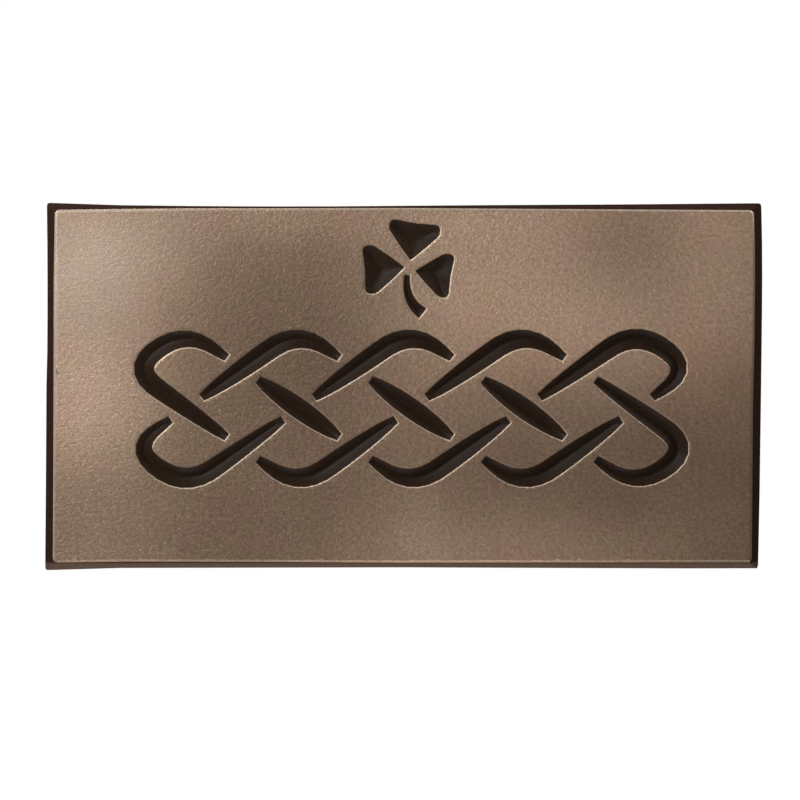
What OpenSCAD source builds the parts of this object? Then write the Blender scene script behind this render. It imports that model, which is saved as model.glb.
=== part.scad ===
// Welcome plaque: one solid bronze casting with a carved front, fixed by two hidden studs.
// Millimetres. +X is right and +Z is up as one faces the plaque. The carved face looks
// along -Y and the flat back lies on Y = 0, with the origin in the middle of the back.
// The front carries a shamrock over an interlaced knot, both cut as soft-bottomed Vs.

/* [Plate] */
// Width of the plate at its back edge
plate_w = 230; // [222:1:320]
// Height of the plate at its back edge
plate_h = 117; // [114:1:180]
// Thickness from the back to the carved face
plate_t = 10; // [9:0.5:16]
// How far the left and right walls lean in toward the face
side_draft = 2.5; // [1:0.1:4]
// How far the top wall leans in
top_draft = 1.5; // [1:0.1:3]
// How far the bottom wall leans in
bottom_draft = 2; // [1:0.1:3]
// Radius of the rubbed lip between the walls and the face
lip_r = 0.9; // [0.6:0.1:1.1]
// Filed break along the back edge
back_break = 0.4; // [0.2:0.1:0.8]
// Corner radius of the back outline
back_corner_r = 1; // [0.8:0.1:6]
// Corner radii of the face: bottom right, top right, top left, bottom left
face_corner_r = [1.4, 1.3, 1.4, 1.5]; // [1.2:0.1:6]
// Share of the hand-made waver of the edges, 0 for a true rectangle
waver = 1; // [0:0.1:1.5]

/* [Carving] */
// Width of the worn brim round every cut
brim_w = 0.45; // [0.3:0.05:0.7]
// Drop of the brim below the face
brim_d = 0.2; // [0.1:0.02:0.4]
// Depth of the widest cuts
carve_d = 2.6; // [1.5:0.1:3]

/* [Knot] */
// Width of the knot over its cuts
knot_w = 178; // [150:1:180]
// Height of the knot over its cuts
knot_h = 51; // [44:1:54]
// Middle of the knot, left or right of the middle of the plate
knot_x = 2.5; // [-4:0.5:4]
// Middle of the knot, above or below the middle of the plate
knot_z = -7.2; // [-14:0.1:-4]
// Cells along the knot, an odd number so that it is a single closed line
knot_cells = 5; // [5:2:7]
// Widest part of a stroke
stroke_w = 6.4; // [4:0.1:7]
// Width of a stroke at its ends
stroke_tip_w = 2.4; // [1.5:0.1:3]
// Land left where one stroke passes under another
strand_gap = 2; // [1.8:0.1:3]

/* [Shamrock] */
// Middle of the shamrock, left or right of the middle of the plate
shamrock_x = 2; // [-10:0.5:10]
// Middle of the shamrock above the middle of the plate
shamrock_z = 38.1; // [37:0.1:39]
// Lengths of the upper, left and right leaves
leaf_l = [12, 12.8, 11.5]; // [10:0.1:13]
// Widths of the upper, left and right leaves
leaf_w = [16, 15.2, 13.8]; // [10:0.1:16]
// Directions of the upper, left and right leaves, anticlockwise from +X
leaf_turn = [82, 184, -9]; // [-20:1:190]
// How far the leaf points lie to the right of the middle of the shamrock
leaf_tip_x = [0.2, -1.7, 1.8]; // [-2.5:0.1:2.5]
// How far the leaf points lie above the middle of the shamrock
leaf_tip_z = [2.3, 0, -1.2]; // [-1.5:0.1:3]
// Depth of the deepest part of a leaf
leaf_d = 2.4; // [1.5:0.1:3]
// How far the top of the stalk lies below the middle of the shamrock
stalk_gap = 2.6; // [2.4:0.1:3.5]
// Drop of the stalk from its top to its foot
stalk_drop = 12.2; // [9:0.1:13]
// Sideways reach of the stalk to the right
stalk_reach = 4.9; // [2:0.1:6]
// Width of the stalk at its top
stalk_top_w = 1.6; // [0.8:0.1:2]
// Width of the stalk at its foot
stalk_foot_w = 3.9; // [2:0.1:4.5]

/* [Fixing] */
// Distance between the two blind stud holes in the back
stud_spacing = 204; // [199:1:206]
// Tapping bore of the stud holes, for M6
stud_bore = 5; // [4:0.1:6]
// Depth of the stud holes
stud_depth = 7; // [5:0.5:7.5]
// Chamfer at the mouth of the stud holes
stud_chamfer = 0.7; // [0.3:0.1:1]

/* [Hidden] */

// The waver of each edge as [place along the edge from -1 to 1, outward shift in mm].
back_waver = [
    [[-1, 0.85], [-0.8, 0.15], [0, -0.05], [0.8, 0.3], [1, 0.25]],                 // bottom
    [[-1, -0.7], [-0.6, -0.2], [0, 0.3], [0.5, 0.65], [0.75, 0.65], [1, 0.35]],    // right
    [[-1, 0.6], [-0.75, -0.35], [-0.3, -0.65], [0.3, -0.1], [0.55, 0], [1, 0.45]], // top
    [[-1, 0.5], [-0.6, 0.3], [0, 0.1], [0.25, -0.25], [0.7, -0.25], [1, -0.05]]    // left
];
face_waver = [
    [[-1, 0.3], [-0.8, -0.05], [-0.5, 0], [0, 0.3], [0.3, 0.25], [1, 0.15]],
    [[-1, -0.7], [-0.6, -0.55], [-0.1, -0.35], [0.2, 0.1], [0.7, 0.4], [1, -0.1]],
    [[-1, -0.55], [-0.9, -0.25], [-0.6, 0.05], [0, 0.15], [0.6, -0.3], [1, -0.55]],
    [[-1, 0.1], [-0.5, -0.05], [0, -0.15], [0.6, -0.2], [1, -0.6]]
];
edge_steps = 10;     // stretches along each edge of the plate
corner_steps = 4;    // stretches round each corner of the plate
lip_steps = 4;       // stretches round the lip
over = 0.1;          // height of the cutting solids above the face
floor_share = 0.42;  // share of a cut's half-width that is its soft floor
floor_rise = 0.8;    // depth at the foot of the wall, as a share of the full depth
steps_per_cell = 12; // stations along the knot for one cell of its line
rows = 2;            // rows of cells in the knot
round_steps = 3;     // points on each rounded corner of a leaf
eps = 0.01;

function mix(a, b, t) = a + (b - a) * t;
function unit(v) = v / norm(v);
function left_of(v) = [-v[1], v[0]];
function from_face(p, depth) = [p[0], depth - plate_t, p[1]];

// A ring of the plate. lean runs from 0 at the back outline to 1 at the face outline,
// shrink moves the ring inward, and y is its place across the thickness.
function plate_ring(lean, shrink, y) =
    let (
        x_out = plate_w / 2 - shrink - side_draft * lean,
        top = plate_h / 2 - shrink - top_draft * lean,
        bottom = -plate_h / 2 + shrink + bottom_draft * lean,
        // corners in the order bottom right, top right, top left, bottom left
        corner = [[x_out, bottom], [x_out, top], [-x_out, top], [-x_out, bottom]],
        radius = [for (r = face_corner_r) max(mix(back_corner_r, r, lean) - shrink, 0.2)],
        out = [[0, -1], [1, 0], [0, 1], [-1, 0]],
        turn = [-90, 0, 90, 180]
    )
    [for (side = [0:3])
        let (
            from = corner[(side + 3) % 4],
            to = corner[side],
            along = unit(to - from),
            start = from + along * radius[(side + 3) % 4],
            end = to - along * radius[side],
            // the right and top edges are walked up and leftward, the others likewise
            span = side % 2 == 0 ? plate_w / 2 : plate_h / 2,
            axis = side % 2,
            centre = to - (along + out[side]) * radius[side]
        )
        each concat(
            [for (i = [0:edge_steps])
                let (
                    p = mix(start, end, i / edge_steps),
                    place = p[axis] / span,
                    shift = mix(lookup(place, back_waver[side]), lookup(place, face_waver[side]), lean)
                )
                concat_y(p + out[side] * shift * waver, y)],
            [for (i = [1:corner_steps - 1])
                let (
                    a = turn[side] + 90 * i / corner_steps,
                    p = centre + radius[side] * [cos(a), sin(a)],
                    next = (side + 1) % 4,
                    before = corner_shift(side, to, lean) * out[side],
                    after = corner_shift(next, to, lean) * out[next]
                )
                concat_y(p + (before + after) * waver, y)]
        )
    ];
function corner_shift(side, p, lean) =
    let (place = side % 2 == 0 ? p[0] / (plate_w / 2) : p[1] / (plate_h / 2))
    mix(lookup(place, back_waver[side]), lookup(place, face_waver[side]), lean);
function concat_y(p, y) = [p[0], y, p[1]];

// Walls between rings of n points each, the first ring at the back.
function wall_faces(rings, n) =
    [for (r = [0:rings - 2], i = [0:n - 1])
        let (j = (i + 1) % n, a = r * n, b = a + n)
        each [[b + i, b + j, a + j], [b + i, a + j, a + i]]];

// The blank is a loft whose first and last facets run on a little past the back and the
// face, and a slab that cuts both flat.
module plate_blank() {
    lip = [for (i = [0:lip_steps]) let (a = 90 * i / lip_steps)
        [lip_r * (1 - cos(a)), lip_r * (1 - sin(a)) - plate_t]];
    past_face = 2 * lip[lip_steps] - lip[lip_steps - 1];
    rings = concat(
        [plate_ring(0, 2 * back_break, back_break), plate_ring(0, 0, -back_break)],
        [for (l = lip) plate_ring(1, l[0], l[1])],
        [plate_ring(1, past_face[0], past_face[1])]
    );
    n = len(rings[0]);
    last = (len(rings) - 1) * n;
    back_mid = len(rings) * n;
    points = concat([for (r = rings) each r], [[0, back_break, 0], [0, past_face[1], 0]]);
    intersection() {
        polyhedron(points, concat(
            wall_faces(len(rings), n),
            [for (i = [0:n - 1]) [back_mid, i, (i + 1) % n]],
            [for (i = [0:n - 1]) [back_mid + 1, last + (i + 1) % n, last + i]]
        ));
        translate([-plate_w, -plate_t, -plate_h]) cube([2 * plate_w, plate_t, 2 * plate_h]);
    }
}

// A stroke: a V cut along a line of points, with the half-width h at each. Every station
// has seven corners: brim, wall top and wall foot on the left, the valley, and the same
// on the right. The ends are hipped, so the floor rises to meet them.
function brim_out() = brim_w * (1 + over / brim_d);
function cut_depth(h, full_w) = brim_d + (carve_d - brim_d) * 2 * h / full_w;
function station(p, along, h, depth, end_sign) =
    let (
        side = left_of(along),
        push = along * end_sign,
        wall = [
            [h + brim_out(), brim_out(), -over],
            [h, 0, brim_d],
            [h * floor_share, -h * (1 - floor_share), depth * floor_rise]
        ]
    )
    concat(
        [for (w = wall) from_face(p + side * w[0] + push * w[1], w[2])],
        [from_face(p - push * h, depth)],
        [for (i = [2:-1:0]) from_face(p - side * wall[i][0] + push * wall[i][1], wall[i][2])]
    );
module stroke(line, half, full_w) {
    n = len(line);
    m = 7;
    points = [for (i = [0:n - 1])
        let (
            a = line[max(i - 1, 0)],
            b = line[min(i + 1, n - 1)],
            end_sign = i == 0 ? -1 : i == n - 1 ? 1 : 0
        )
        each station(line[i], unit(b - a), half[i], cut_depth(half[i], full_w), end_sign)];
    skin = [for (i = [0:n - 2], k = [0:m - 1])
        let (l = (k + 1) % m, a = i * m, b = a + m)
        each [[a + k, a + l, b + l], [a + k, b + l, b + k]]];
    z = (n - 1) * m;
    caps = [
        [0, 6, 5], [0, 5, 1], [1, 5, 4], [1, 4, 2], [2, 4, 3],
        [z, z + 5, z + 6], [z, z + 1, z + 5], [z + 1, z + 4, z + 5], [z + 1, z + 2, z + 4],
        [z + 2, z + 3, z + 4]
    ];
    polyhedron(points, concat(skin, caps));
}

// The knot is one closed line that bounces round a board of knot_cells by rows cells,
// half a cell at a step, and is rounded into a smooth curve. It passes over and under
// itself in turn. Each stroke runs from one pass under to the next.
knot_steps = 4 * knot_cells * rows;
cell_w = (knot_w - stroke_w) / (knot_cells - 0.25);
cell_h = (knot_h - stroke_w) / (rows - 0.25);
function bounce(k, size) = size - abs(size - k % (2 * size));
function board_place(k) = let (s = (k + knot_steps) % knot_steps)
    [bounce(s, 2 * knot_cells), bounce(s + 1, 2 * rows)];
function board_point(k) = let (p = board_place(k))
    [knot_x + (p[0] - knot_cells) * cell_w / 2, knot_z + (p[1] - rows) * cell_h / 2];
function is_crossing(k) = let (p = board_place(k))
    p[0] > 0 && p[0] < 2 * knot_cells && p[1] > 0 && p[1] < 2 * rows;
function curve_point(t) =
    let (
        k = floor(t + 0.5),
        u = t - k + 0.5,
        here = board_point(k),
        a = (board_point(k - 1) + here) / 2,
        b = (here + board_point(k + 1)) / 2
    )
    a * (1 - u) * (1 - u) + here * 2 * u * (1 - u) + b * u * u;
crossings = [for (k = [0:knot_steps - 1]) if (is_crossing(k)) k];
unders = [for (i = [0:2:len(crossings) - 1]) crossings[i]];
half_cell = [cell_w, cell_h] / 2;
crossing_angle = 2 * atan2(half_cell[1], half_cell[0]);
end_lean = (stroke_tip_w / 2 + brim_out()) * abs(cos(crossing_angle));
trim = (stroke_w / 2 + strand_gap + end_lean) / sin(crossing_angle) / norm(half_cell);
function swell(t) = mix(stroke_tip_w, stroke_w, pow(sin(180 * t), 0.7)) / 2;

module knot_cuts() {
    for (i = [0:len(unders) - 1]) {
        from = unders[i] + trim;
        to = (i + 1 < len(unders) ? unders[i + 1] : unders[0] + knot_steps) - trim;
        n = round((to - from) * steps_per_cell / 2);
        stroke(
            [for (s = [0:n]) curve_point(mix(from, to, s / n))],
            [for (s = [0:n]) swell(s / n)],
            stroke_w
        );
    }
}

// One leaf, pointing along +X from its tip at 0, as shares of its length and width:
// tip, flank, flank, outer lobe corner, end lobe corner, end, notch. The far side mirrors
// it. The last number is how far each corner is rounded, in mm.
half_leaf = [
    [0, 0, 0.4], [0.28, 0.2, 1], [0.56, 0.385, 1], [0.77, 0.52, 1.3],
    [1.02, 0.49, 1.4], [1, 0.2, 1], [0.985, 0, 0.8]
];
leaf_corners = concat(half_leaf, [for (i = [5:-1:1]) [half_leaf[i][0], -half_leaf[i][1], half_leaf[i][2]]]);
// The valley of a leaf is a Y: tip, stem of the Y, fork, arm and end of each arm, as
// shares of length and width, with the depth as a share of leaf_d.
valley = [
    [0.1, 0, 0.25], [0.33, 0, 0.65], [0.56, 0, 1],
    [0.67, 0.15, 0.95], [0.79, 0.3, 0.75], [0.67, -0.15, 0.95], [0.79, -0.3, 0.75]
];
// Which valley point each point of the rounded outline falls to.
half_fall = [[0, 0, 0], [1, 1, 2], [2, 3, 3], [4, 4, 4], [4, 4, 4], [3, 3, 3], [2, 2, 2]];
other_arm = [0, 1, 2, 5, 6];
fall = [for (c = [0:11]) each c < 7 ? half_fall[c]
    : [for (i = [2:-1:0]) other_arm[half_fall[12 - c][i]]]];

function rounded(corner, radius) =
    let (n = len(corner))
    [for (i = [0:n - 1])
        let (
            before = corner[(i + n - 1) % n] - corner[i],
            after = corner[(i + 1) % n] - corner[i],
            a = corner[i] + unit(before) * min(radius[i], norm(before) * 0.45),
            b = corner[i] + unit(after) * min(radius[i], norm(after) * 0.45)
        )
        for (s = [0:round_steps - 1])
            let (t = s / (round_steps - 1))
            a * (1 - t) * (1 - t) + corner[i] * 2 * t * (1 - t) + b * t * t];

module leaf_cut(length, width) {
    size = [length, width];
    outline = rounded(
        [for (c = leaf_corners) [c[0] * length, c[1] * width]],
        [for (c = leaf_corners) c[2]]
    );
    n = len(outline);
    outward = [for (i = [0:n - 1]) left_of(unit(outline[(i + 1) % n] - outline[(i + n - 1) % n]))];
    foot = [for (v = valley) [v[0] * length, v[1] * width]];
    depth = [for (v = valley) brim_d + (leaf_d - brim_d) * v[2]];
    points = concat(
        [for (i = [0:n - 1]) from_face(outline[i] + outward[i] * brim_out(), -over)],
        [for (i = [0:n - 1]) from_face(outline[i], brim_d)],
        [for (i = [0:n - 1]) from_face(mix(outline[i], foot[fall[i]], 1 - floor_share),
            depth[fall[i]] * floor_rise)],
        [for (i = [0:len(foot) - 1]) from_face(foot[i], depth[i])],
        [from_face([length / 2, 0], -over)]
    );
    valley_0 = 3 * n;
    lid = valley_0 + len(foot);
    polyhedron(points, concat(
        wall_faces(3, n),
        [for (i = [0:n - 1])
            let (j = (i + 1) % n, a = valley_0 + fall[i], b = valley_0 + fall[j])
            each a == b ? [[2 * n + j, 2 * n + i, a]]
                : [[2 * n + j, 2 * n + i, b], [2 * n + i, a, b]]],
        [for (i = [0:n - 1]) [lid, i, (i + 1) % n]]
    ));
}

module shamrock_cuts() {
    translate([shamrock_x, 0, shamrock_z]) {
        for (i = [0:2])
            translate([leaf_tip_x[i], 0, leaf_tip_z[i]])
                rotate([0, -leaf_turn[i], 0])
                    leaf_cut(leaf_l[i], leaf_w[i]);
        stalk_cut();
    }
}

// The stalk swings down and to the right from just under the middle.
module stalk_cut() {
    top = [-stalk_top_w / 2, -stalk_gap];
    foot = top + [stalk_reach, -stalk_drop];
    bend = top + [-0.2 * stalk_reach, -0.67 * stalk_drop];
    n = 12;
    stroke(
        [for (i = [0:n]) let (t = i / n)
            top * (1 - t) * (1 - t) + bend * 2 * t * (1 - t) + foot * t * t],
        [for (i = [0:n]) mix(stalk_top_w, stalk_foot_w, i / n) / 2],
        stroke_w
    );
}

module stud_hole() {
    rotate([90, 0, 0]) {
        translate([0, 0, -eps]) cylinder(d = stud_bore, h = stud_depth + eps, $fn = 48);
        translate([0, 0, -eps])
            cylinder(d1 = stud_bore + 2 * (stud_chamfer + eps), d2 = stud_bore,
                h = stud_chamfer + eps, $fn = 48);
    }
}

module plaque() {
    color("#7a6350")
    difference() {
        plate_blank();
        knot_cuts();
        shamrock_cuts();
        for (side = [-1, 1]) translate([side * stud_spacing / 2, 0, 0]) stud_hole();
    }
}

plaque();
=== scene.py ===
# %% [markdown]
# # A cast bronze welcome plaque
#
# The object is one solid casting: a thick plate with leaning walls, a rubbed satin face, and a
# carved knot and shamrock filled with dark patina. The CAD frame already holds its true shape,
# so this lesson dresses it: it gives the face the slight unevenness and the pebbly skin of a
# sand casting, and a bronze whose colour holds real rubbing and patina, painted sheen on the face,
# and painted highlight and shade on the edges by how they face the key lamp.

# %% Load the frame
import math

import bmesh
import bpy
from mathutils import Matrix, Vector, noise


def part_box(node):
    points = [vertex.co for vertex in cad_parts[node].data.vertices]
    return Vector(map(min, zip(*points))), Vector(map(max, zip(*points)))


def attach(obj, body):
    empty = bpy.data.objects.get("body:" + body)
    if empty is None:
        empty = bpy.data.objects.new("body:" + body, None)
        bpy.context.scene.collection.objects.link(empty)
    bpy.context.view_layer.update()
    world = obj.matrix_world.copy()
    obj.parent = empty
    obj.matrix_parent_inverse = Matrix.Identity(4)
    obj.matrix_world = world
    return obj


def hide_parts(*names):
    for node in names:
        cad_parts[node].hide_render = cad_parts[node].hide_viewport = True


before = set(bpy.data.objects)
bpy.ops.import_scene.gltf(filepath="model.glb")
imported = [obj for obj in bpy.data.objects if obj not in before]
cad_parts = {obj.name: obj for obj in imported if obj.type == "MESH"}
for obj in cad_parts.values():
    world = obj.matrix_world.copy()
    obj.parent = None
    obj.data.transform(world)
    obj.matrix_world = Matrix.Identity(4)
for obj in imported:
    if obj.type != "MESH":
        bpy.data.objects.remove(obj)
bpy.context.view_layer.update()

# %% [markdown]
# ## Where things are
#
# Everything is in metres. The flat back lies on Y = 0 and the carved face looks along -Y, so the
# face plane is found from the frame's box and not typed in.

# %% Sizes taken from the frame
MM = 0.001
low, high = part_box("plaque")
FACE_Y = low[1]
BACK_Y = high[1]
MIDDLE = Vector(((low[0] + high[0]) / 2, (low[1] + high[1]) / 2, (low[2] + high[2]) / 2))
print("face at", round(FACE_Y / MM, 2), "mm, back at", round(BACK_Y / MM, 2), "mm")

# %% [markdown]
# ## The casting
#
# The CAD solid comes as loose triangles. A copy is welded into one skin, and its big flat face,
# which is only a few hundred long triangles, is sliced into small cells. Slicing with
# `bisect_plane` keeps the carving's own edges exactly where they are, which a remesh would blur.

# %% Weld a copy of the solid
FLAT = 1e-6          # how near to the face plane a corner counts as on it


def on_face(face):
    return all(abs(v.co.y - FACE_Y) < FLAT for v in face.verts)


bm = bmesh.new()
bm.from_mesh(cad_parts["plaque"].data)
bmesh.ops.remove_doubles(bm, verts=bm.verts, dist=FLAT)
print("welded corners:", len(bm.verts), "triangles:", len(bm.faces))

# %% [markdown]
# The long edges inside the flat face are marked before the slicing, so that they can be taken
# out afterwards and leave tidy square cells.

# %% Slice the face into cells
CELL = 1.0 * MM
ON_CUT = 1e-7        # how near to a cut a corner counts as on it

inner = bm.edges.layers.int.new("inside_face")
for edge in bm.edges:
    edge[inner] = int(len(edge.link_faces) == 2 and all(on_face(f) for f in edge.link_faces))


def slice_face(axis, start, end):
    """Cut the flat face at every CELL along the axis, keeping only what lies beyond each cut.

    The pieces to cut are kept in a dictionary, which drops doubles and holds their order.
    """
    todo = [f for f in bm.faces if on_face(f)]
    normal = Vector((0, 0, 0))
    normal[axis] = 1
    for i in range(1, int((end - start) / CELL)):
        place = start + i * CELL
        geom = dict.fromkeys(todo)
        for f in todo:
            geom.update(dict.fromkeys(f.edges))
            geom.update(dict.fromkeys(f.verts))
        cut = bmesh.ops.bisect_plane(
            bm, geom=list(geom), dist=ON_CUT, plane_co=normal * place, plane_no=normal)
        faces = [f for f in cut["geom"] if isinstance(f, bmesh.types.BMFace)]
        todo = [f for f in faces if max(v.co[axis] for v in f.verts) > place + ON_CUT]


slice_face(0, low[0], high[0])
slice_face(2, low[2], high[2])
old = [e for e in bm.edges if e[inner] and len(e.link_faces) == 2]
print("cells and slivers:", sum(on_face(f) for f in bm.faces), "old edges:", len(old))
bmesh.ops.dissolve_edges(bm, edges=old, use_verts=False)
print("cells:", sum(on_face(f) for f in bm.faces))

# %% [markdown]
# ## The tapped holes
#
# Two blind holes in the back take M6 studs. The CAD has their tapping bores. Here the smooth wall
# of each bore is taken out and wound again as rings that follow an internal thread: one turn to a
# millimetre, cut half a millimetre into the wall, running out at both ends. A bump would be
# quicker, but a thread is looked at nearly edge-on, where a bump shows nothing.

# %% Cut the threads
PITCH = 1.0 * MM
THREAD_DEPTH = 0.5 * MM
RINGS_PER_TURN = 8
CREST = 0.2          # share of a half turn that stays at the bore's wall
RISE = 0.65          # share of it over which the thread then deepens
RUN_IN = 0.8 * MM    # the thread fades in over this at the bottom of the bore
RUN_OUT = 0.4 * MM   # and out over this at its mouth
SEAM = 0.003         # where the count of turns starts again, clear of any corner

BORE_SPAN = (FACE_Y + 2 * MM, BACK_Y - 0.1 * MM)
LONG = 3 * MM        # no other face in that span runs this far straight in
STRAIGHT = 0.01


def bore_walls():
    """The long faces of each bore, grouped by the side of the plaque that they are on."""
    walls = {-1: [], 1: []}
    for f in bm.faces:
        deep = max(v.co.y for v in f.verts) - min(v.co.y for v in f.verts)
        inside = all(BORE_SPAN[0] < v.co.y < BORE_SPAN[1] for v in f.verts)
        if inside and deep > LONG and abs(f.normal.y) < STRAIGHT:
            walls[1 if f.verts[0].co.x > 0 else -1].append(f)
    return walls


def thread_cut(y, turn, start, end):
    """How far the thread is cut into the wall there, fading out near both ends."""
    wave = abs(2 * ((y / PITCH - turn) % 1) - 1)
    fade = min((end - y) / RUN_OUT, (y - start) / RUN_IN, 1)
    return THREAD_DEPTH * min(max((wave - CREST) / RISE, 0), 1) * max(fade, 0)


def turn_of(v, axis_x, axis_z):
    """Where a corner lies round the bore, in turns."""
    return math.atan2(v.co.x - axis_x, v.co.z - axis_z) / (2 * math.pi)


def wind_thread(wall):
    """Take out a bore's wall and wind it again. Gives back how many corners it now has."""
    corners = list(dict.fromkeys(v for f in wall for v in f.verts))
    axis_x = sum(v.co.x for v in corners) / len(corners)
    axis_z = sum(v.co.z for v in corners) / len(corners)
    start = min(v.co.y for v in corners)
    end = max(v.co.y for v in corners)
    by_turn = sorted(corners, key=lambda v: (turn_of(v, axis_x, axis_z) + SEAM) % 1)
    first = [v for v in by_turn if v.co.y < start + FLAT]
    last = [v for v in by_turn if v.co.y > end - FLAT]
    bmesh.ops.delete(bm, geom=wall, context="FACES_ONLY")
    count = round((end - start) / PITCH * RINGS_PER_TURN)
    rings = [first]
    for i in range(1, count):
        y = start + (end - start) * i / count
        ring = []
        for v in first:
            out = Vector((v.co.x - axis_x, 0, v.co.z - axis_z))
            cut = out.normalized() * thread_cut(y, turn_of(v, axis_x, axis_z), start, end)
            ring.append(bm.verts.new((v.co.x + cut.x, y, v.co.z + cut.z)))
        rings.append(ring)
    rings.append(last)
    for a, b in zip(rings, rings[1:]):
        for i in range(len(a)):
            j = (i + 1) % len(a)
            bm.faces.new((a[i], a[j], b[j], b[i]))
    return sum(len(ring) for ring in rings)


for side, wall in bore_walls().items():
    print("thread on side", side, "faces taken out:", len(wall), "corners:", wind_thread(wall))
bmesh.ops.recalc_face_normals(bm, faces=bm.faces)

# %% [markdown]
# ## Two maps of depth
#
# The finish changes with depth: it is one thing down in the carving and another down the outer
# walls. So each corner keeps how far it lies below the face, in millimetres, in one of two
# attributes. A third marks the walls of the tapped holes. Masks painted by hand would need a UV
# map, and these come straight from the shape. They are written before the face is made uneven,
# and so they stay exact.

# %% Depth attributes
CARVED_X = high[0] - 10 * MM     # the carving stays inside this
CARVED_Z = high[2] - 5 * MM
DEEPEST_CUT = 2.8                # millimetres below the face
BORE_MOUTH = 9.7

for name in ("cut_depth", "edge_depth", "tapped", "rubbed", "silver_sheen", "facing_light"):
    bm.verts.layers.float.new(name)
cut_depth = bm.verts.layers.float["cut_depth"]
edge_depth = bm.verts.layers.float["edge_depth"]
tapped = bm.verts.layers.float["tapped"]
rubbed = bm.verts.layers.float["rubbed"]
silver_sheen = bm.verts.layers.float["silver_sheen"]
for v in bm.verts:
    depth = (v.co.y - FACE_Y) / MM
    within = abs(v.co.x) < CARVED_X and abs(v.co.z) < CARVED_Z
    v[cut_depth if within and depth < DEEPEST_CUT else edge_depth] = depth
    v[tapped] = float(within and DEEPEST_CUT < depth < BORE_MOUTH)
print("carved corners:", sum(v[cut_depth] > 0.01 for v in bm.verts))

# %% [markdown]
# ## Edges that face the key lamp
#
# The key lamp stands to the upper left. The edges that face that way are given a painted highlight,
# and the others painted shade. So each corner also keeps how far its edge looks up and to the left.
# The corner's own normal tells that, which saves working out the shape of every cut again.

# %% Edges facing the key lamp
# painted highlight and shade: edges that face this way, toward the key lamp, go brighter and the
# others darker
KEY_LIGHT_FROM = Vector((-0.5, 0.0, 0.86))
LIT_SIDEWAYS = 0.5     # an edge that faces neither way
LIT_GAIN = 0.65
LIT_LEAST = 0.1
LEVEL = 0.05         # corners that lean less than this face no way

facing_light = bm.verts.layers.float["facing_light"]
bm.normal_update()
for v in bm.verts:
    sideways = Vector((v.normal.x, 0.0, v.normal.z))
    facing = sideways.normalized().dot(KEY_LIGHT_FROM) if sideways.length > LEVEL else 0.0
    v[facing_light] = min(1.0, max(LIT_LEAST, LIT_SIDEWAYS + LIT_GAIN * facing))
print("edges wiped bright:", sum(v[facing_light] > 0.9 for v in bm.verts))

# %% [markdown]
# ## Rubbed patches and painted sheen
#
# The face isn't one even brown. Soft, overlapping patches clear the patina, most of all toward
# the left edge and the upper right: they are partly real rubbing and partly painted sheen of the
# lamps. The upper left corner is given a painted silvery reflection of the key lamp. Noise alone
# would put the patches anywhere, so each is listed: its middle and its half-sizes in millimetres
# from the middle of the plate, then how much it clears.

# %% Rubbed patches and painted sheen
# painted sheen: these patches lighten the face where the lamps' sheen falls, as well as where it is
# rubbed
SHEEN_AND_RUB_PATCHES = [
    (-100, 40, 30, 25, 0.75), (-100, -5, 25, 25, 0.8), (-125, -65, 55, 40, 0.3),
    (-15, 55, 60, 10, 0.3), (15, 30, 25, 30, 0.55), (65, 20, 35, 20, 0.6),
    (85, 65, 60, 60, 0.95), (5, -45, 15, 30, 0.3), (40, -55, 60, 15, 0.5),
    (75, 40, 20, 45, -0.5),
]
# painted reflection: the grey sheen of the key lamp, laid on the upper left corner
SILVER_SHEEN_PATCH = (-115, 50, 55, 50, 1.0)
SHEEN_AND_RUB_ALL_OVER = 0.05


def soft_patch(place, patch):
    """How much a patch clears at a place, fading like a bell."""
    x, z, wide, tall, share = patch
    off_x = (place.x / MM - x) / wide
    off_z = (place.z / MM - z) / tall
    return share * math.exp(-off_x * off_x - off_z * off_z)


for v in bm.verts:
    v[rubbed] = SHEEN_AND_RUB_ALL_OVER + sum(soft_patch(v.co, patch) for patch in SHEEN_AND_RUB_PATCHES)
    v[silver_sheen] = soft_patch(v.co, SILVER_SHEEN_PATCH)
print("rubbed share:", round(min(v[rubbed] for v in bm.verts), 2),
      "to", round(max(v[rubbed] for v in bm.verts), 2))

# %% [markdown]
# ## Unevenness of the face
#
# A hand-finished casting is never quite flat. Three sizes of soft noise move the front of the
# casting by a few hundredths of a millimetre: enough for light to wander over it. The corners of
# the face's cells are moved themselves, so the swells are in the shape and not only in the shading.

# %% Move the skin
SWELLS = [(30 * MM, 0.07 * MM), (9 * MM, 0.018 * MM), (3.2 * MM, 0.008 * MM)]
FRONT = 3 * MM       # how deep below the face the skin still moves
SET_BACK = 0.03 * MM
NOISE_START = Vector((7, 3, 11))

bmesh.ops.triangulate(bm, faces=[f for f in bm.faces if len(f.verts) > 4])
for v in bm.verts:
    if v.co.y < FACE_Y + FRONT:
        lift = sum(noise.noise(v.co / size + NOISE_START) * depth for size, depth in SWELLS)
        v.co.y += lift + SET_BACK
print("highest place on the face:", round(min(v.co.y for v in bm.verts) / MM, 3), "mm")

# %% [markdown]
# ## One smooth skin with crisp edges
#
# The face and the floors of the cuts are shaded smooth. Every edge that turns more than 30 degrees
# is marked sharp, so the walls of the cuts and the rims of the holes keep a clean line. A bevel
# isn't needed, because the solid already has its worn lip and brims.

# %% Finish the mesh
SHARP = math.radians(30)
for f in bm.faces:
    f.smooth = True
for e in bm.edges:
    if len(e.link_faces) == 2 and e.calc_face_angle(0) > SHARP:
        e.smooth = False
bmesh.ops.triangulate(bm, faces=bm.faces)
mesh = bpy.data.meshes.new("bronze_casting")
bm.to_mesh(mesh)
bm.free()
casting = bpy.data.objects.new("bronze_casting", mesh)
bpy.context.scene.collection.objects.link(casting)
print("casting triangles:", len(mesh.polygons))

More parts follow.
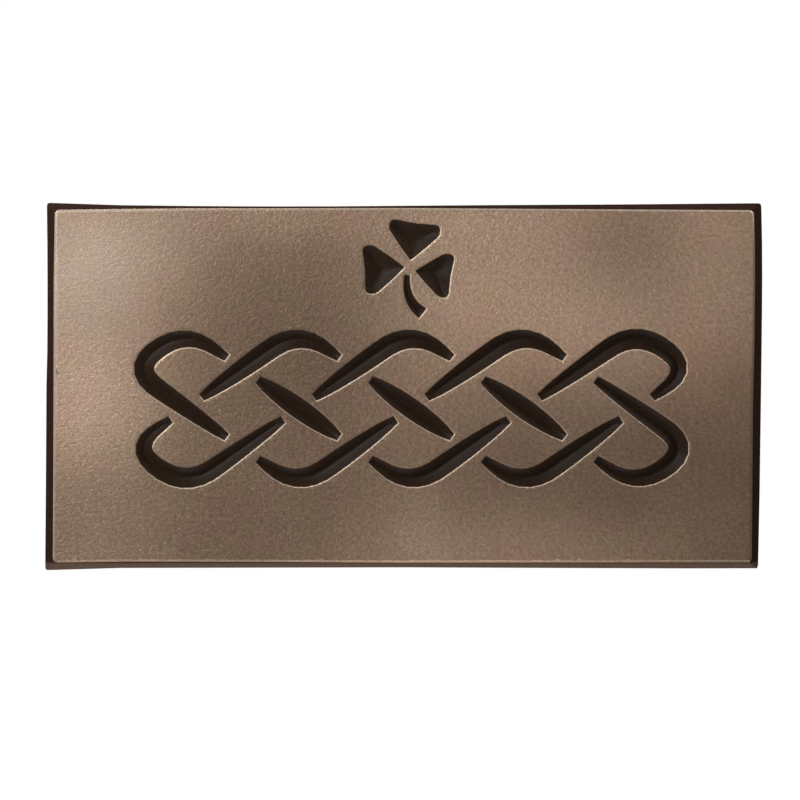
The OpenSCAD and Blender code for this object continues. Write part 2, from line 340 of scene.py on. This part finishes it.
# %% [markdown]
# ## Node helpers
#
# Materials are built from nodes. A few short helpers place a node with its settings and join it
# to others, so that each finish below reads as a recipe and not as a list of links.


# %% Node helpers
def put(tree, socket, value):
    """A link or a plain value, into a socket."""
    if isinstance(value, bpy.types.NodeSocket):
        tree.links.new(value, socket)
    else:
        socket.default_value = value


def add(tree, kind, **inputs):
    """A node of that kind, with values or links for its named inputs."""
    node = tree.nodes.new(kind)
    for name, value in inputs.items():
        put(tree, node.inputs[name.replace("_", " ")], value)
    return node


def ramp(tree, value, low_in, high_in, low_out=0.0, high_out=1.0, smooth=True):
    """The value stretched from one range to another, held at its ends."""
    node = add(tree, "ShaderNodeMapRange", Value=value)
    node.interpolation_type = "SMOOTHSTEP" if smooth else "LINEAR"
    node.inputs["From Min"].default_value = low_in
    node.inputs["From Max"].default_value = high_in
    node.inputs["To Min"].default_value = low_out
    node.inputs["To Max"].default_value = high_out
    return node.outputs["Result"]


def blend(tree, factor, first, second):
    """Two colours mixed by a mask. Its colour sockets are numbers 6 and 7, and its output 2."""
    node = tree.nodes.new("ShaderNodeMix")
    node.data_type = "RGBA"
    put(tree, node.inputs[0], factor)
    put(tree, node.inputs[6], first)
    put(tree, node.inputs[7], second)
    return node.outputs[2]


# %% [markdown]
# The other helpers work on colours and numbers: they lighten, tint, mix and add, read a value that
# the mesh keeps on its corners, and lay a soft noise over the piece.


# %% More node helpers
def scaled(tree, tint, factor):
    """A colour made lighter or darker by a factor."""
    node = tree.nodes.new("ShaderNodeVectorMath")
    node.operation = "SCALE"
    tree.links.new(tint, node.inputs[0])
    tree.links.new(factor, node.inputs["Scale"])
    return node.outputs[0]


def tinted(tree, first, second):
    """One colour seen through another, or a place stretched by three factors."""
    node = tree.nodes.new("ShaderNodeVectorMath")
    node.operation = "MULTIPLY"
    put(tree, node.inputs[0], first)
    put(tree, node.inputs[1], second)
    return node.outputs[0]


def mixed(tree, factor, first, second):
    """A value part of the way from a linked one to a fixed one."""
    node = add(tree, "ShaderNodeMix", Factor=factor)
    tree.links.new(first, node.inputs[2])
    node.inputs[3].default_value = second
    return node.outputs[0]


def maths(tree, operation, first, second=0.5):
    """One sum on two values."""
    node = tree.nodes.new("ShaderNodeMath")
    node.operation = operation
    put(tree, node.inputs[0], first)
    put(tree, node.inputs[1], second)
    return node.outputs[0]


def attribute(tree, name):
    """One of the mesh's own values, kept on its corners."""
    node = tree.nodes.new("ShaderNodeAttribute")
    node.attribute_name = name
    return node.outputs["Fac"]


def noise_at(tree, place, scale, detail, roughness=0.5):
    """Soft noise from 0 to 1 over the piece."""
    node = add(tree, "ShaderNodeTexNoise", Vector=place, Scale=scale, Detail=detail)
    put(tree, node.inputs["Roughness"], roughness)
    return node.outputs["Fac"]


def colour(red, green, blue):
    return (red, green, blue, 1.0)


# %% [markdown]
# ## The skin of a sand casting
#
# Wet sand leaves a fine leathery pebble on the metal, about a millimetre across. As real bumps it
# would take millions of faces, so it is given to the shading. It is made once, as a node group,
# from two noises of different sizes. The group gives out a height, and a tone that is low in the
# hollows where patina stays behind and high on the rubbed tops.

# %% Group: cast skin
PEBBLE_STRETCH = (0.75, 1.0, 1.0)    # pebbles are a little longer along the plate
GRIT_FINER = 2.3                     # the grit is this much finer than the pebbles
GRIT_SHARE = 0.35
TONE_HEIGHTS = (0.42, 0.93)          # heights that give the lowest and the highest tone


def cast_skin_group():
    group = bpy.data.node_groups.new("cast_skin", "ShaderNodeTree")
    face = group.interface
    face.new_socket("Place", in_out="INPUT", socket_type="NodeSocketVector")
    face.new_socket("Pebble scale", in_out="INPUT", socket_type="NodeSocketFloat")
    face.new_socket("Height", in_out="OUTPUT", socket_type="NodeSocketFloat")
    face.new_socket("Tone", in_out="OUTPUT", socket_type="NodeSocketFloat")
    into = group.nodes.new("NodeGroupInput").outputs
    out = group.nodes.new("NodeGroupOutput").inputs
    stretched = tinted(group, into["Place"], PEBBLE_STRETCH)
    pebble = noise_at(group, stretched, into["Pebble scale"], 3.0, 0.72)
    grit_scale = maths(group, "MULTIPLY", into["Pebble scale"], GRIT_FINER)
    grit = noise_at(group, stretched, grit_scale, 1.0)
    height = maths(group, "ADD", pebble, maths(group, "MULTIPLY", grit, GRIT_SHARE))
    group.links.new(height, out["Height"])
    group.links.new(ramp(group, height, *TONE_HEIGHTS, smooth=False), out["Tone"])
    return group


CAST_SKIN = cast_skin_group()
print("group:", CAST_SKIN.name)

# %% [markdown]
# ## Where one finish gives way to another
#
# A second group turns the two depth attributes into masks. `Carved` is the near-black patina
# inside the cuts, `Wall` the matt patina down the outer walls, and `Back` the cast back. `Brim`
# and `Lip` are the edges of the cuts and the lip round the face, where polish and painted highlight
# go. Masks fade from one finish to the next, as patina does, and separate materials would meet in a
# line.

# %% Group: wear masks
BRIM_DEPTHS = (0.0, 0.06)            # millimetres below the face, from none to all
CARVED_DEPTHS = (0.1, 0.22)
LIP_DEPTHS = (0.0, 0.12)
WALL_DEPTHS = (0.4, 0.8)
BACK_DEPTHS = (9.65, 9.9)
STRAY = 0.05                         # how far the patina on the walls strays with the skin


def wear_group():
    group = bpy.data.node_groups.new("wear", "ShaderNodeTree")
    for name in ("Cut depth", "Edge depth", "Jitter"):
        group.interface.new_socket(name, in_out="INPUT", socket_type="NodeSocketFloat")
    for name in ("Carved", "Wall", "Back", "Brim", "Lip"):
        group.interface.new_socket(name, in_out="OUTPUT", socket_type="NodeSocketFloat")
    into = group.nodes.new("NodeGroupInput").outputs
    out = group.nodes.new("NodeGroupOutput").inputs
    shake = ramp(group, into["Jitter"], 0.0, 1.0, -STRAY, STRAY, False)
    shaken = maths(group, "ADD", into["Edge depth"], shake)
    group.links.new(ramp(group, into["Cut depth"], *BRIM_DEPTHS), out["Brim"])
    group.links.new(ramp(group, into["Cut depth"], *CARVED_DEPTHS), out["Carved"])
    group.links.new(ramp(group, into["Edge depth"], *LIP_DEPTHS), out["Lip"])
    group.links.new(ramp(group, shaken, *WALL_DEPTHS), out["Wall"])
    group.links.new(ramp(group, into["Edge depth"], *BACK_DEPTHS), out["Back"])
    return group


WEAR = wear_group()
print("group:", WEAR.name)

# %% [markdown]
# ## The colour of the face
#
# Under the brown patina lies rubbed bronze, coppery where a slow noise says so, with a painted
# silvery reflection of the key lamp in the upper left corner. The mask of rubbing and painted sheen
# decides how much of it shows. A second slow noise drifts the borders of the patches, so that they
# don't look drawn.

# %% Colour of the face
BROWN = colour(0.128, 0.085, 0.057)
# partly rubbed bronze, partly painted sheen of the lamps
SHEEN_AND_RUBBED_BRONZE = colour(0.350, 0.243, 0.170)
# painted reflection: the grey of the key lamp's sheen in the upper left corner
SILVER_SHEEN = colour(0.325, 0.252, 0.190)
COPPER = colour(0.400, 0.225, 0.150)
CLOUDS = 22.0                        # noise scales are in swings to the metre
BLUSHES = 34.0
BLUSH_SHARE = 0.35
DRIFT = 0.1


def face_colour(tree, place):
    clouds = noise_at(tree, place, CLOUDS, 3.0)
    drift = ramp(tree, clouds, 0.3, 0.7, -DRIFT, DRIFT, False)
    blush = ramp(tree, noise_at(tree, place, BLUSHES, 1.0), 0.45, 0.75, 0.0, BLUSH_SHARE)
    # painted reflection and sheen: the silvery corner and the rubbed patches stand partly for the
    # lamps' sheen
    metal = blend(tree, attribute(tree, "silver_sheen"), SHEEN_AND_RUBBED_BRONZE, SILVER_SHEEN)
    metal = blend(tree, blush, metal, COPPER)
    return blend(tree, maths(tree, "ADD", attribute(tree, "rubbed"), drift), BROWN, metal)


# %% [markdown]
# ## Polished edges, with painted highlight and shade
#
# The brims and the lip are polished bronze, and their colour also holds painted highlight where
# they face the key lamp in the upper left and painted shade where they face away. So they go toward
# polished bronze as far as they face that lamp, and where they face away they darken.

# %% Colour of the edges
# polished bronze, reached on edges that face the key lamp: partly real polish, partly painted
# highlight
POLISH_AND_HIGHLIGHT = colour(0.60, 0.48, 0.37)
BRIM_SHINE = 0.6
LIP_SHINE = 0.8
# painted shade on the edges that face away from the key lamp
PAINTED_EDGE_SHADE = 0.5


def polished_and_lit_edges(tree, tint, wear):
    lit_share = attribute(tree, "facing_light")
    brim = maths(tree, "MULTIPLY", wear["Brim"], BRIM_SHINE)
    lip = maths(tree, "MULTIPLY", wear["Lip"], LIP_SHINE)
    edges = maths(tree, "MAXIMUM", brim, lip)
    # painted highlight on edges facing the key lamp, painted shade on the others
    tint = blend(tree, maths(tree, "MULTIPLY", edges, lit_share), tint, POLISH_AND_HIGHLIGHT)
    edge_shade = maths(tree, "MULTIPLY", edges, maths(tree, "SUBTRACT", 1.0, lit_share))
    return scaled(tree, tint, ramp(tree, edge_shade, 0.0, LIP_SHINE, 1.0, PAINTED_EDGE_SHADE, False))


# %% [markdown]
# ## Patina
#
# Dark patina was rubbed into the cuts and down the walls, and the back was left as it was cast.
# The wall underneath is given a lighter colour, painted light from below: it is told from the
# others by height.

# %% Colour of the patina
PATINA = colour(0.017, 0.0092, 0.0052)
WALL_PATINA = colour(0.024, 0.013, 0.009)
# painted light: the wall underneath is lighter, as if lit from below
FOOT_PAINTED_LIGHT = colour(0.085, 0.058, 0.042)
CAST_BACK = colour(0.085, 0.056, 0.038)
FOOT_LIGHT_HEIGHTS = (low[2] + 3 * MM, low[2] + 2 * MM)


def patinated(tree, tint, place, wear):
    height = add(tree, "ShaderNodeSeparateXYZ", Vector=place).outputs["Z"]
    # painted light: the bottom wall gets the lighter colour, standing in for light from below
    walls = blend(tree, ramp(tree, height, *FOOT_LIGHT_HEIGHTS), WALL_PATINA, FOOT_PAINTED_LIGHT)
    tint = blend(tree, wear["Carved"], tint, PATINA)
    tint = blend(tree, wear["Wall"], tint, walls)
    return blend(tree, wear["Back"], tint, CAST_BACK)


# %% [markdown]
# ## Grain and flecks
#
# The skin's tone darkens its hollows a little, less so in the upper left corner of painted
# reflection, where the grain is evened. Then a finer noise leans the colour slightly to rose or to
# olive, as on any bronze that has been handled for years. It is a multiplied tint, so that the
# light and dark under it stay.

# %% Colour of the grain
GRAIN = (0.68, 1.22)
SILVER_SHEEN_EVEN = 0.6
ROSY = colour(1.01, 0.975, 1.015)
OLIVE = colour(0.995, 1.01, 0.975)
FLECKS = 120.0


def grained(tree, tint, place, tone):
    grain = ramp(tree, tone, 0.0, 1.0, *GRAIN, smooth=False)
    even = maths(tree, "MULTIPLY", attribute(tree, "silver_sheen"), SILVER_SHEEN_EVEN)
    tint = scaled(tree, tint, mixed(tree, even, grain, 1.0))
    fleck = ramp(tree, noise_at(tree, place, FLECKS, 3.0, 0.6), 0.35, 0.65)
    return tinted(tree, tint, blend(tree, fleck, ROSY, OLIVE))


# %% [markdown]
# ## Aged bronze
#
# The patina is a coating and not bare metal, so the metallic share follows the same masks, and a
# faint wax coat lies in the cuts. The tapped threads are fresh-cut metal. The bump calms down in
# the upper left corner of painted reflection and on the lip. Values that are the same all over go
# on the shader itself.

# %% Material: aged bronze
FRESH_CUT = colour(0.62, 0.42, 0.24)
PEBBLES = 900.0
PEBBLE_HEIGHT = 0.24 * MM
METAL_SHARE = 0.85
SATIN = 0.5          # roughness of the face, and of the edges of the cuts
EDGE_SATIN = 0.62
WAX = 0.09
WAX_ROUGHNESS = 0.45
SILVER_SHEEN_CALM = 0.65
LIP_HEIGHT = 0.3     # share of the pebble's height that is left on the lip


def group_node(tree, group):
    node = tree.nodes.new("ShaderNodeGroup")
    node.node_tree = group
    return node


def pebble_bump(tree, height, wear):
    flattened = maths(tree, "MULTIPLY", attribute(tree, "silver_sheen"), SILVER_SHEEN_CALM)
    calm = maths(tree, "SUBTRACT", 1.0, flattened)
    worn = ramp(tree, wear["Lip"], 0.0, 1.0, 1.0, LIP_HEIGHT, False)
    height = maths(tree, "MULTIPLY", height, maths(tree, "MULTIPLY", calm, worn))
    bump = add(tree, "ShaderNodeBump", Height=height, Strength=1.0, Distance=PEBBLE_HEIGHT)
    return bump.outputs["Normal"]


def aged_bronze():
    material = bpy.data.materials.new("aged_bronze")
    material.use_nodes = True
    tree = material.node_tree
    shader = tree.nodes["Principled BSDF"].inputs
    place = tree.nodes.new("ShaderNodeTexCoord").outputs["Object"]

    skin = group_node(tree, CAST_SKIN)
    put(tree, skin.inputs["Place"], place)
    put(tree, skin.inputs["Pebble scale"], PEBBLES)
    masks = group_node(tree, WEAR)
    put(tree, masks.inputs["Cut depth"], attribute(tree, "cut_depth"))
    put(tree, masks.inputs["Edge depth"], attribute(tree, "edge_depth"))
    put(tree, masks.inputs["Jitter"], skin.outputs["Tone"])
    wear = masks.outputs

    tint = face_colour(tree, place)
    tint = polished_and_lit_edges(tree, tint, wear)
    tint = patinated(tree, tint, place, wear)
    tint = grained(tree, tint, place, skin.outputs["Tone"])
    fresh = attribute(tree, "tapped")
    put(tree, shader["Base Color"], blend(tree, fresh, tint, FRESH_CUT))

    coated = maths(tree, "MAXIMUM", wear["Carved"], wear["Wall"])
    coated = maths(tree, "MULTIPLY", coated, maths(tree, "SUBTRACT", 1.0, fresh))
    put(tree, shader["Metallic"], ramp(tree, coated, 0.0, 1.0, METAL_SHARE, 0.0, False))
    put(tree, shader["Roughness"], ramp(tree, wear["Brim"], 0.0, 1.0, SATIN, EDGE_SATIN, False))
    put(tree, shader["Coat Weight"], ramp(tree, wear["Carved"], 0.0, 1.0, 0.0, WAX, False))
    put(tree, shader["Normal"], pebble_bump(tree, skin.outputs["Height"], wear))
    shader["Coat Roughness"].default_value = WAX_ROUGHNESS
    shader["Specular IOR Level"].default_value = 0.0
    return material


mesh.materials.append(aged_bronze())
print("material:", mesh.materials[0].name, "nodes:", len(mesh.materials[0].node_tree.nodes))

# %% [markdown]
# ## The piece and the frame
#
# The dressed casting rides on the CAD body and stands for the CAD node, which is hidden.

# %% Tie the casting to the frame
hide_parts("plaque")
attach(casting, "root")
print("tied:", casting.name)

# %% [markdown]
# ## Floor
#
# The plaque hangs free in a white studio, as on a cut-out photograph. A plain pale floor lies well
# below it, under the lowest lamp. The camera and reflections see it white, and it can't be seen
# from underneath, so it never hides the plaque. A backdrop would hide the plaque from behind, so
# there the world takes over as the white.

# %% Material: floor
PALE = colour(0.8, 0.8, 0.8)
WHITE = colour(1, 1, 1)


def shown(tree, share, first, second):
    """Two shaders mixed by a share."""
    node = tree.nodes.new("ShaderNodeMixShader")
    put(tree, node.inputs[0], share)
    put(tree, node.inputs[1], first)
    put(tree, node.inputs[2], second)
    return node.outputs[0]


def floor_white():
    material = bpy.data.materials.new("studio_white")
    material.use_nodes = True
    tree = material.node_tree
    pale = tree.nodes["Principled BSDF"]
    pale.inputs["Base Color"].default_value = PALE
    glow = add(tree, "ShaderNodeEmission", Color=WHITE, Strength=1.0)
    rays = tree.nodes.new("ShaderNodeLightPath").outputs
    seen = maths(tree, "MAXIMUM", rays["Is Camera Ray"], rays["Is Glossy Ray"])
    seen = maths(tree, "MAXIMUM", seen, rays["Is Transmission Ray"])
    above = shown(tree, seen, pale.outputs[0], glow.outputs[0])
    under = tree.nodes.new("ShaderNodeBsdfTransparent")
    back = tree.nodes.new("ShaderNodeNewGeometry").outputs["Backfacing"]
    surface = shown(tree, back, above, under.outputs[0])
    put(tree, tree.nodes["Material Output"].inputs["Surface"], surface)
    return material


# %% [markdown]
# The floor is one big square. Its place is in its mesh, as with every piece, so the object itself
# stays at the origin.

# %% Floor
FLOOR_Z = -0.60
FLOOR_HALF = 4.0

sheet = bmesh.new()
bmesh.ops.create_grid(sheet, x_segments=1, y_segments=1, size=FLOOR_HALF)
bmesh.ops.translate(sheet, verts=sheet.verts, vec=(0.0, 0.0, FLOOR_Z))
floor_mesh = bpy.data.meshes.new("floor")
sheet.to_mesh(floor_mesh)
sheet.free()
floor_mesh.materials.append(floor_white())
floor = bpy.data.objects.new("floor", floor_mesh)
bpy.context.scene.collection.objects.link(floor)
print("floor at a height of", FLOOR_Z, "m")

# %% [markdown]
# ## Lamps
#
# Four soft lamps, all turned to the middle of the plaque. The key lamp near the upper left makes
# the sheen fall off toward the lower right. The edge lamp lights the right end, the foot lamp the
# wall underneath, and the back lamp the back, for whoever walks round.

# %% Lamps
LAMPS = [
    # name, place, size, power, tint
    ("key_lamp", (-0.30, -0.36, 0.26), 0.22, 3.6, (0.95, 1.0, 1.04)),
    ("edge_lamp", (0.42, -0.13, 0.34), 0.20, 1.6, (1, 1, 1)),
    ("foot_lamp", (-0.05, -0.10, -0.45), 0.25, 1.5, (1, 1, 1)),
    ("back_lamp", (-0.35, 0.50, 0.40), 0.40, 6.0, (1, 1, 1)),
]

for name, place, size, power, tint in LAMPS:
    light = bpy.data.lights.new(name, "AREA")
    light.size = size
    light.energy = power
    light.color = tint
    lamp = bpy.data.objects.new(name, light)
    lamp.location = place
    lamp.rotation_euler = (MIDDLE - Vector(place)).to_track_quat("-Z", "Y").to_euler()
    bpy.context.scene.collection.objects.link(lamp)
    print(name, "at", round((MIDDLE - Vector(place)).length, 2), "m")

# %% [markdown]
# ## World
#
# The world answers each kind of ray in turn. The camera sees plain white. A mirror ray that leaves
# backward or down sees the white as well, as if from a sheet of paper that curves under and behind
# the plaque. All others find a dim, warm room, so that the lamps shape the metal.

# %% World
ROOM_LIGHT = 0.2
ROOM_TINT = colour(1, 0.88, 0.78)
BACKWARD = (0.1, 0.4)                # how far a ray heads that way, from none to all of the white
DOWNWARD = (0.0, -0.15)


def studio_world():
    world = bpy.data.worlds.new("studio")
    world.use_nodes = True
    tree = world.node_tree
    room = tree.nodes["Background"]
    room.inputs["Color"].default_value = ROOM_TINT
    room.inputs["Strength"].default_value = ROOM_LIGHT
    white = add(tree, "ShaderNodeBackground", Color=WHITE, Strength=1.0)
    rays = tree.nodes.new("ShaderNodeLightPath").outputs
    ahead = tree.nodes.new("ShaderNodeTexCoord").outputs["Generated"]
    heading = add(tree, "ShaderNodeSeparateXYZ", Vector=ahead).outputs
    behind = ramp(tree, heading["Y"], *BACKWARD)
    below = ramp(tree, heading["Z"], *DOWNWARD)
    paper = maths(tree, "MAXIMUM", behind, below)
    mirrored = maths(tree, "MULTIPLY", rays["Is Glossy Ray"], paper)
    seen = maths(tree, "MAXIMUM", rays["Is Camera Ray"], rays["Is Transmission Ray"])
    seen = maths(tree, "MAXIMUM", seen, mirrored)
    surface = shown(tree, seen, room.outputs[0], white.outputs[0])
    put(tree, tree.nodes["World Output"].inputs["Surface"], surface)
    return world


bpy.context.scene.world = studio_world()
print("world:", bpy.context.scene.world.name)

# %% [markdown]
# ## Camera
#
# The photograph was taken square to the face with a long lens. The camera stands two metres off,
# and a little low and left, so that the plaque sits a touch high and right in the frame. Its lens
# follows from how much of the plate one pixel covers.

# %% Camera
DISTANCE = 2.0
PIXEL = 0.3208 * MM                  # what one pixel covers on the face
FRAME_PIXELS = 800
PLAQUE_PIXEL = (403.5, 386.0)        # where the plate's middle falls, from the upper left

lens = bpy.data.cameras.new("camera")
lens.sensor_width = 36.0
lens.lens = lens.sensor_width * DISTANCE / (FRAME_PIXELS * PIXEL)
camera = bpy.data.objects.new("camera", lens)
camera.location = (
    (FRAME_PIXELS / 2 - PLAQUE_PIXEL[0]) * PIXEL,
    FACE_Y - DISTANCE,
    (PLAQUE_PIXEL[1] - FRAME_PIXELS / 2) * PIXEL,
)
camera.rotation_euler = (math.radians(90), 0, 0)
bpy.context.scene.collection.objects.link(camera)
bpy.context.scene.camera = camera
bpy.context.scene.view_settings.view_transform = "Standard"
print("lens:", round(lens.lens, 1), "mm")
